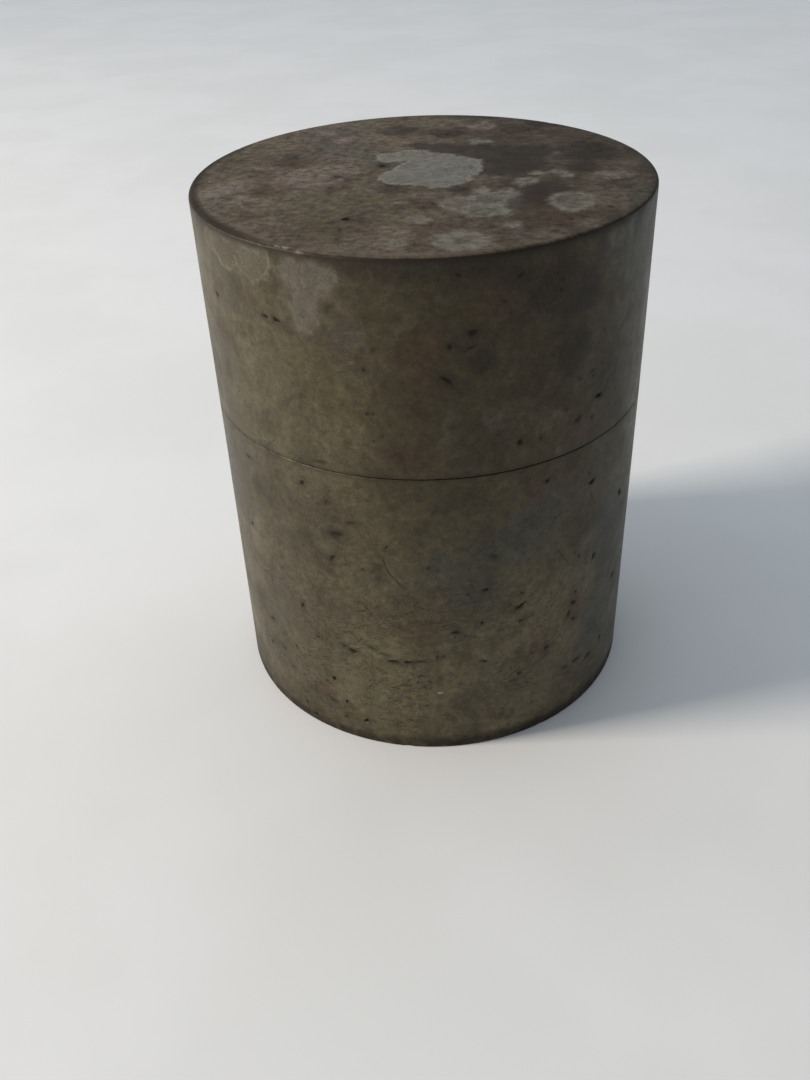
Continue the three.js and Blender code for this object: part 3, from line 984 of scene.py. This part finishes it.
def rim_light_shade_and_wear(p):
    """The pale edge of painted highlight and the dark ring of painted shade along the rim, the pits, and
    metal worn through on the rim, partly a painted highlight.
    """
    # painted highlight: a paler band along the top's edge in front
    painted_edge_highlight = p.times(p.field("painted_edge_highlight"), p.ease(p.fine, 0.3, 0.6, 0.35, 1.0))
    p.coat("light", painted_edge_highlight, 0.55)
    # painted shade and dark reflection: the dark ring along the rim
    rim = p.times(p.field("rim"), p.ease(p.fine, 0.2, 0.6, 0.7, 1.0))
    p.coat("deep", rim, 0.85)
    p.pit = p.math("MINIMUM", p.field("pit"), 1.0)
    ragged_pit = p.times(p.pit, p.ease(p.fine, 0.3, 0.62, 0.6, 1.25))
    p.coat("pit", p.ease(ragged_pit, 0.03, 0.6), 0.92)
    # metal worn through along the rim's edge, partly a painted highlight
    worn = p.field("wear_and_highlight")
    patches = p.ease(p.noise(3.2, detail=4, roughness=0.7, stretch=(1, 1, 0.5)), 0.4, 0.58)
    p.bare = p.ease(p.times(worn, patches), 0.15, 0.9, 0.0, 0.75)
    p.coat("metal", p.bare)


def finish_patina(p, matte, gloss):
    """Adds roughness, metal and the finest relief. matte is the roughness of bare tarnish."""
    oxide = oxide_on(p)
    roughness = p.plus(matte, p.times(p.centred(p.middle), 0.35), p.times(p.centred(p.fine), 0.25))
    roughness = p.plus_shares(roughness, (oxide, 0.2), (p.haze, 0.06), (p.pit, 0.45), (p.foot, 0.3))
    roughness = p.less(roughness, p.times(p.bare, 0.1), clamp=True)
    dull = p.plus_shares(p.times(oxide, 0.15), (p.pit, 0.2), (p.foot, 0.2))
    metallic = p.most(p.less(0.22, dull, clamp=True), p.times(p.bare, 0.5))
    turning = p.noise(0.55, detail=1, stretch=(60, 60, 1))
    height = p.plus_shares(
        p.times(p.fine, p.rough_area, 0.6), (p.grain, 0.22), (p.middle, 0.7),
        (p.crust, 0.22), (turning, 0.15), (p.pale_line, -0.25), (p.dark_line, -0.35),
        (p.speck, -0.5), (p.stroke, -0.5), (p.smudge, -0.15),
    )
    fixed = {"IOR": 1.5, "Specular IOR Level": gloss}
    return p.finish(p.colour, roughness, metallic, height, 0.085, **fixed)


def patina(name, tones, shift, mottling, matte, gloss, bloom_middle, crust_middle):
    """A material of old tarnished pewter. shift moves its noise, so that no two pieces match."""
    p = Patina(name, tones, shift)
    lay_ground(p)
    stain_and_shade(p)
    patches = (p.fine, 0.3, 0.7, 0.7, 1.0)
    p.bloom = oxidise(p, "bloom", 0.8, (-1.1, 1.0), (2.2, 0.8), patches, bloom_middle, 1.07)
    patches = (p.blotch, 0.36, 0.6, 1.0, 0.55)
    p.crust = oxidise(p, "crust", 0.9, (-0.55, 0.5), (1.0, 0.3), patches, crust_middle, 1.2)
    mottle(p, mottling)
    scuff(p)
    speckle(p)
    rim_light_shade_and_wear(p)
    return finish_patina(p, matte, gloss)


def turned_pewter(name, colour_a, colour_b, tarnish_colour, tarnish, roughness, stretch, shift=(0, 0, 0)):
    """Turned pewter: fine rings from the lathe, satin, with tarnish in soft clouds and rubbed lines."""
    s = Shading(name)
    parts = s.add("SeparateXYZ", {0: s.place}).outputs
    radius = s.math("SQRT", s.plus(s.times(parts[0], parts[0]), s.times(parts[1], parts[1])))
    ring_place = s.add("CombineXYZ", {0: radius, 1: parts[2], 2: s.noise(30, detail=1)}).outputs[0]
    rings = s.raw_noise(ring_place, 3.2, 3.0)
    wide_rings = s.raw_noise(ring_place, 0.7, 2.0)
    cloud = s.noise(9, detail=5, roughness=0.62, distortion=0.5, shift=shift)
    fine = s.noise(1.3, detail=3, shift=shift)
    rub = s.noise(1.6, detail=3, stretch=stretch, shift=shift)
    colour = s.mix(s.ease(wide_rings, 0.36, 0.64), colour_a, colour_b)
    clouded = s.times(s.ease(cloud, 0.34, 0.74), tarnish)
    colour = s.mix(clouded, colour, tarnish_colour)
    colour = s.mix(s.times(s.ease(rub, 0.55, 0.7), 0.25), colour, colour_b)
    spots = s.times(s.specks(3.4, 0.4, 0.22, shift=shift), 0.55)
    colour = s.mix(spots, colour, tarnish_colour)
    lines = s.hairlines(2.6, (1.4, 0.3, 0.8), shift, width=0.008)
    colour = s.mix(s.times(lines, 0.3), colour, colour_b)
    colour = s.scale_colour(colour, s.ease(fine, 0.25, 0.75, 0.92, 1.07))
    rough = s.plus(roughness, s.times(clouded, 0.22), s.times(s.centred(rings), 0.14), s.times(spots, 0.2))
    metallic = s.less(0.92, s.times(clouded, 0.35))
    height = s.plus_shares(s.times(rings, 0.55), (wide_rings, 0.5), (fine, 0.2), (lines, -0.4))
    return s.finish(colour, rough, metallic, height, 0.035, IOR=1.6)


def solder_metal():
    """Wiped solder: brighter and smoother than the pewter beside it, with ripples."""
    s = Shading("solder")
    ripple = s.noise(1.4, detail=3, distortion=0.8)
    cloud = s.noise(5, detail=4)
    colour = s.mix(s.ease(cloud, 0.42, 0.62), (0.42, 0.41, 0.38), (0.24, 0.225, 0.195))
    roughness = s.ease(ripple, 0.3, 0.7, 0.3, 0.48)
    return s.finish(colour, roughness, s.ease(cloud, 0.4, 0.7, 0.95, 0.75), ripple, 0.12, IOR=1.6)


def floor_surface():
    """A pale matt floor, very slightly clouded."""
    s = Shading("pale_floor")
    cloud = s.noise(90, detail=3)
    grain = s.noise(2.5, detail=3)
    colour = s.mix(s.ease(cloud, 0.4, 0.6), (0.77, 0.77, 0.765), (0.8, 0.8, 0.8))
    fixed = {"IOR": 1.45, "Specular IOR Level": 0.25}
    return s.finish(colour, s.ease(grain, 0.3, 0.7, 0.74, 0.84), 0.0, grain, 0.02, **fixed)


body_patina = patina("patinated_pewter_body", SIDE_TONES, (0, 0, 0), 1.5, 0.47, 0.3, 0.9, 0.6)
lid_patina = patina("patinated_pewter_lid", SIDE_TONES, (17, 4, 9), 1.4, 0.47, 0.3, 0.9, 0.6)
top_patina = patina("patinated_pewter_top", TOP_TONES, (40, 21, 2), 2.6, 0.74, 0.08, 0.62, 0.85)
base_patina = patina("patinated_pewter_base", SIDE_TONES, (3, 60, 5), 1.6, 0.6, 0.25, 0.9, 0.4)
neck_pewter = turned_pewter(
    "turned_pewter_neck", (0.27, 0.255, 0.222), (0.34, 0.325, 0.288), (0.145, 0.13, 0.102), 0.85, 0.38,
    (1, 1, 14),
)
lid_pewter = turned_pewter(
    "turned_pewter_inner_lid", (0.29, 0.275, 0.242), (0.37, 0.352, 0.315), (0.155, 0.138, 0.11), 0.8, 0.36,
    (6, 1, 1), (21, 3, 8),
)
knob_pewter = turned_pewter(
    "turned_pewter_knob", (0.34, 0.323, 0.288), (0.42, 0.402, 0.362), (0.165, 0.148, 0.118), 0.7, 0.3,
    (6, 1, 1), (2, 33, 8),
)
inside_pewter = turned_pewter(
    "turned_pewter_inside", (0.24, 0.225, 0.19), (0.33, 0.31, 0.265), (0.1, 0.082, 0.058), 0.85, 0.42,
    (1, 1, 9), (9, 14, 30),
)
solder = solder_metal()


# ---------------------------------------------------------------- the pieces
def make_body_wall():
    """The body's wall, pitted outside, with a ledge inside the foot."""
    top = BODY_TOP + SEAM_CLOSE
    foot = bend(OUTER - ROUND_OF_FOOT, ROUND_OF_FOOT, ROUND_OF_FOOT, -90, 0, 5)
    points = line((FOOT_BORE, 0), foot[0], 1.0) + foot[:-1]
    points += line(foot[-1], (OUTER, top - SEAM_EDGE), CELL)
    points += line((OUTER, top - SEAM_EDGE), (OUTER - SEAM_EDGE, top), 0.2)
    points += line((OUTER - SEAM_EDGE, top), (BODY_BORE, top), 0.6)
    points += line((BODY_BORE, top), (BODY_BORE, FOOT_LEDGE), 4.0)
    points += line((BODY_BORE, FOOT_LEDGE), (FOOT_BORE, FOOT_LEDGE), 1.0)
    points += line((FOOT_BORE, FOOT_LEDGE), (FOOT_BORE, 0), 0.6)
    bm = lathe(points)
    refine(bm, side_wanted, SIDE_MARGINS)
    wear_outside(bm, BODY_DENTS)

    def inside(centre, normal):
        return (radius_of(centre) < BODY_BORE + 0.05) & (centre[:, 2] > FOOT_LEDGE)

    finish_piece("body_wall_skin", bm, "canister", ["body_wall"], [body_patina, inside_pewter],
                 inside, side_fields)


def make_base_plate():
    """The base, slightly sunk in the middle."""
    bottom, top = BASE_BOTTOM, BASE_TOP
    points = outline((0, bottom, 1.2), (BASE_RADIUS, bottom, 1.2), (BASE_RADIUS, top, 1.6), (0, top, 99))[:-1]
    points.append((0, top))
    bm = lathe(points, PLATE_COLUMNS)
    co = coordinates(bm)
    radius = radius_of(co)
    sunk = 0.1 * ease(radius, 22, 0) + 0.03 * unevenness(co[:, 0], co[:, 1], 40.0)
    co[:, 2] += sunk * ease(radius, BASE_RADIUS, BASE_RADIUS - 6)
    move_to(bm, co)
    finish_piece("base_plate_skin", bm, "canister", ["base_plate"], [base_patina, inside_pewter],
                 lambda centre, normal: normal[:, 2] > 0.5, plain_fields)


def make_neck():
    """The neck, whose rim is eased outside so that the outer lid slides on."""
    points = outline(
        (NECK_BORE, NECK_BOTTOM, 1.0), (NECK_OUTER - 0.1, NECK_BOTTOM, 0.2),
        (NECK_OUTER, NECK_BOTTOM + 0.1, 1.6),
        (NECK_OUTER, NECK_TOP - 0.9, 0.4), (NECK_OUTER - 0.12, NECK_TOP - 0.4, 0.2),
        (NECK_OUTER - 0.42, NECK_TOP - 0.06, 0.2), (NECK_OUTER - 0.6, NECK_TOP, 0.6),
        (NECK_BORE + 0.25, NECK_TOP, 0.2), (NECK_BORE, NECK_TOP - 0.25, 1.6),
    )
    finish_piece("neck_ring_skin", lathe(points, NECK_COLUMNS), "canister", ["neck_ring"],
                 [neck_pewter, inside_pewter],
                 lambda centre, normal: radius_of(centre) < NECK_BORE + 0.02)


def make_inner_lid():
    """The inner lid's plate, with a rounded edge and a half-round bead."""
    edge = bend(PLATE_RADIUS - 0.5, PLATE_TOP - 0.5, 0.5, 0, 90, 5)
    bead = bend(BEAD_RADIUS, PLATE_TOP, BEAD_HALF_WIDTH, 0, 180, 10)
    points = line((0, PLATE_BOTTOM), (PLATE_RADIUS, PLATE_BOTTOM), 2.0)
    points += line((PLATE_RADIUS, PLATE_BOTTOM), edge[0], 0.6) + edge[:-1]
    points += line(edge[-1], bead[0], 0.8) + bead[:-1]
    points += line(bead[-1], (0, PLATE_TOP), 1.2) + [(0, PLATE_TOP)]
    bm = lathe(points, PLATE_COLUMNS)
    co = coordinates(bm)
    upper = co[:, 2] > PLATE_TOP - 0.01
    co[:, 2] += upper * 0.025 * unevenness(co[:, 0], co[:, 1], 12.0) * ease(radius_of(co), 6, 9)
    move_to(bm, co)
    finish_piece("inner_lid_plate_skin", bm, "inner_lid", ["inner_lid_plate"], [lid_pewter],
                 crease=40)


def make_skirt():
    """The inner lid's skirt, with a blunt lower edge."""
    points = outline(
        (SKIRT_BORE, SKIRT_BOTTOM, 0.5), (SKIRT_OUTER - 0.5, SKIRT_BOTTOM, 0.2),
        (SKIRT_OUTER - 0.15, SKIRT_BOTTOM + 0.15, 0.2), (SKIRT_OUTER, SKIRT_BOTTOM + 0.5, 1.2),
        (SKIRT_OUTER, SKIRT_TOP, 0.7), (SKIRT_BORE, SKIRT_TOP, 1.2),
    )
    finish_piece("inner_lid_skirt_skin", lathe(points, PLATE_COLUMNS), "inner_lid", ["inner_lid_skirt"],
                 [lid_pewter])


def make_knob():
    """The knob: a stepped foot, a concave waist, a thick-edged button with a fine groove, and a low dome."""
    b = KNOB_BOTTOM
    t = KNOB_TOP
    points = [(0, b)] + line((0, b), (5.3, b), 1.0)[1:] + bend(5.3, b + 0.45, 0.2, -90, 0, 3)
    points += [(KNOB_FOOT_RADIUS, b + 0.7), (5.3, b + 0.9), (4.7, b + 1.0), (4.1, b + 1.25), (3.65, b + 1.65)]
    points += [(3.35, b + 2.2), (3.22, b + 2.8), (3.2, b + 3.3), (3.3, b + 3.8), (3.6, b + 4.15)]
    points += [(4.3, b + 4.4), (5.4, b + 4.5)] + bend(KNOB_RADIUS - 1.6, t - 2.5, 1.6, -90, 90, 12)
    points += [(6.3, t - 0.82), (6.0, t - 0.86), (5.7, t - 0.72), (5.2, t - 0.56), (4.2, t - 0.34)]
    points += [(3.0, t - 0.17), (1.8, t - 0.06), (0.8, t - 0.01), (0, t)]
    finish_piece("inner_lid_knob_skin", lathe(points, KNOB_COLUMNS), "inner_lid", ["inner_lid_knob"],
                 [knob_pewter], crease=50)


def make_lid_wall():
    """The outer lid's wall, pitted outside, with a step inside its top end for the top plate."""
    bottom = LID_BOTTOM - SEAM_CLOSE
    rim = bend(OUTER - ROUND_OF_RIM, TOP - ROUND_OF_RIM, ROUND_OF_RIM, 0, 90, 8)
    points = line((LID_BORE, bottom), (OUTER - SEAM_EDGE, bottom), 0.6)
    points += line((OUTER - SEAM_EDGE, bottom), (OUTER, bottom + SEAM_EDGE), 0.2)
    points += line((OUTER, bottom + SEAM_EDGE), rim[0], CELL) + rim
    points += line((TOP_PLATE_RADIUS, TOP), (TOP_PLATE_RADIUS, CEILING), 1.3)
    points += line((TOP_PLATE_RADIUS, CEILING), (LID_BORE, CEILING), 0.6)
    points += line((LID_BORE, CEILING), (LID_BORE, bottom), 4.0)
    bm = lathe(points)
    refine(bm, side_wanted, SIDE_MARGINS)
    wear_outside(bm, LID_DENTS)

    def which(centre, normal):
        inside = (radius_of(centre) < LID_BORE + 0.1) & (centre[:, 2] < CEILING)
        return np.where(inside, 1, np.where(on_top(centre), 2, 0))

    materials = [lid_patina, inside_pewter, top_patina]
    finish_piece("lid_wall_skin", bm, "outer_lid", ["lid_wall"], materials,
                 which, lid_fields)


def make_lid_top():
    """The outer lid's top plate, with the marks in its upper face."""
    bm = bmesh.new()
    upper = disc(bm, TOP_PLATE_RADIUS, TOP, TOP_CELL, True)
    lower = disc(bm, TOP_PLATE_RADIUS, CEILING, TOP_CELL, False)
    band(bm, lower, upper)

    def wanted(middles, margin):
        marked = near_marks(middles[:, 0], middles[:, 1], top_marks, margin)
        return marked & (middles[:, 2] > TOP - 0.01)

    refine(bm, wanted, TOP_MARGINS)
    co = coordinates(bm)
    co[:, 2] += (co[:, 2] > TOP - 0.01) * top_relief(co[:, 0], co[:, 1])
    move_to(bm, co)
    finish_piece("lid_top_skin", bm, "outer_lid", ["lid_top_plate"], [top_patina, inside_pewter],
                 lambda centre, normal: normal[:, 2] < -0.5, top_fields)


def make_solder(name, body, r, z, size, outward, upward):
    """Solder round an inside corner at (r, z). outward and upward, 1 or -1, say which way it spreads."""
    corner = [(0, 0), (1, 0), (0.62, 0.1), (0.34, 0.24), (0.2, 0.42), (0.08, 0.68), (0, 1)]
    if outward * upward < 0:
        corner = corner[::-1]
    bm = bmesh.new()
    rows = []
    for u, v in corner:
        row = []
        for i in range(PLATE_COLUMNS):
            a = 2 * math.pi * i / PLATE_COLUMNS
            swell = 1 + 0.14 * math.sin(9 * a + r) + 0.1 * math.sin(23 * a + 2 * z)
            swell += 0.07 * math.sin(41 * a + 1)
            ring = r + outward * u * size * swell
            row.append(bm.verts.new((ring * math.sin(a), -ring * math.cos(a), z + upward * v * size * swell)))
        rows.append(row)
    for low, high in zip(rows, rows[1:] + rows[:1]):
        band(bm, low, high)
    finish_piece(name, bm, body, [], [solder], crease=50)


make_body_wall()
make_base_plate()
make_neck()
make_inner_lid()
make_skirt()
make_knob()
make_lid_wall()
make_lid_top()
make_solder("base_solder", "canister", BODY_BORE, BASE_TOP, 1.1, -1, 1)
make_solder("foot_solder", "canister", FOOT_BORE, BASE_BOTTOM, 0.5, -1, -1)
make_solder("neck_solder", "canister", BODY_BORE, NECK_BOTTOM, 0.9, -1, -1)
make_solder("skirt_solder", "inner_lid", SKIRT_BORE, PLATE_BOTTOM, 0.8, -1, -1)
make_solder("knob_solder", "inner_lid", KNOB_FOOT_RADIUS, PLATE_TOP, 0.45, 1, 1)
make_solder("ceiling_solder", "outer_lid", LID_BORE, CEILING, 1.0, -1, -1)


# ---------------------------------------------------------------- floor, light and camera
FLOOR_REACH = 6000.0
FLOOR_RINGS = 24
FLOOR_COLUMNS = 64
LIGHT_PLACE = (-1.24, -0.21, 0.88)  # metres
LIGHT_AIM = (0, 0, 0.06)  # metres
LIGHT_SIZE = 0.3  # metres
LIGHT_POWER = 17.6
LIGHT_COLOUR = (1.0, 0.9, 0.78)
DARK_SIDE = (0.5, -0.66, 0.56)  # the way from the canister to the darkest part of the room
ROOM_COLOUR = (0.91, 1.0, 1.09, 1)
CAMERA_PLACE = (0, -222.6, 184.5)
CAMERA_PITCH = math.radians(35.45)  # downwards
CAMERA_YAW = math.radians(-1.77)
CAMERA_ROLL = math.radians(-2.455)
LENS = 35.29
SENSOR = 36


def make_floor():
    """A round floor, whose cells grow outwards."""
    bm = bmesh.new()
    middle = bm.verts.new((0, 0, 0))
    angles = [2 * math.pi * i / FLOOR_COLUMNS for i in range(FLOOR_COLUMNS)]
    rows = []
    for ring in range(1, FLOOR_RINGS + 1):
        r = FLOOR_REACH * (ring / FLOOR_RINGS) ** 3
        rows.append([bm.verts.new((r * math.cos(a), r * math.sin(a), 0)) for a in angles])
    for i in range(FLOOR_COLUMNS):
        j = (i + 1) % FLOOR_COLUMNS
        bm.faces.new([middle, rows[0][i], rows[0][j]])
        for inner, outer in zip(rows, rows[1:]):
            bm.faces.new([inner[i], outer[i], outer[j], inner[j]])
    mesh = bpy.data.meshes.new("floor")
    bm.to_mesh(mesh)
    bm.free()
    mesh.transform(Matrix.Scale(MM, 4))
    mesh.materials.append(floor_surface())
    mesh.shade_smooth()
    floor = bpy.data.objects.new("floor", mesh)
    bpy.context.scene.collection.objects.link(floor)


def make_surroundings():
    """A pale room, darkest high up in front and to the right."""
    world = bpy.data.worlds.new("room")
    world.use_nodes = True
    tree = world.node_tree
    tree.nodes.clear()
    way = add_node(tree, "TexCoord").outputs["Generated"]
    towards = add_node(tree, "VectorMath", {0: way, 1: DARK_SIDE}, operation="DOT_PRODUCT")
    inputs = {"From Min": -0.2, "From Max": 0.9, "To Min": 0.86, "To Max": 0.24}
    inputs["Value"] = towards.outputs["Value"]
    fade = add_node(tree, "MapRange", inputs, interpolation_type="SMOOTHSTEP")
    back = add_node(tree, "Background", {"Color": ROOM_COLOUR, "Strength": fade.outputs[0]})
    add_node(tree, "OutputWorld", {"Surface": back.outputs[0]})
    bpy.context.scene.world = world


def make_light():
    """The window's light: a square soft light that faces the canister."""
    data = bpy.data.lights.new("window_light", "AREA")
    data.shape = "SQUARE"
    data.size, data.energy, data.color = LIGHT_SIZE, LIGHT_POWER, LIGHT_COLOUR
    light = bpy.data.objects.new("window_light", data)
    light.location = LIGHT_PLACE
    aim = Vector(LIGHT_AIM) - Vector(LIGHT_PLACE)
    light.rotation_euler = aim.to_track_quat("-Z", "Y").to_euler()
    bpy.context.scene.collection.objects.link(light)


def make_camera():
    """The camera stands in front, looks down at the canister, and leans a little to one side."""
    pitch, yaw, roll = CAMERA_PITCH, CAMERA_YAW, CAMERA_ROLL
    forward = Vector((math.sin(yaw) * math.cos(pitch), math.cos(yaw) * math.cos(pitch), -math.sin(pitch)))
    level_right = Vector((math.cos(yaw), -math.sin(yaw), 0))
    level_up = level_right.cross(forward)
    right = math.cos(roll) * level_right + math.sin(roll) * level_up
    up = math.cos(roll) * level_up - math.sin(roll) * level_right
    data = bpy.data.cameras.new("camera")
    data.sensor_width = SENSOR
    data.lens = LENS
    data.clip_start = 0.01
    camera = bpy.data.objects.new("camera", data)
    turn = Matrix((right, up, -forward)).transposed().to_4x4()
    camera.matrix_world = Matrix.Translation(Vector(CAMERA_PLACE) * MM) @ turn
    bpy.context.scene.collection.objects.link(camera)
    bpy.context.scene.camera = camera


make_floor()
make_surroundings()
make_light()
make_camera()
bpy.context.scene.view_settings.view_transform = "Standard"
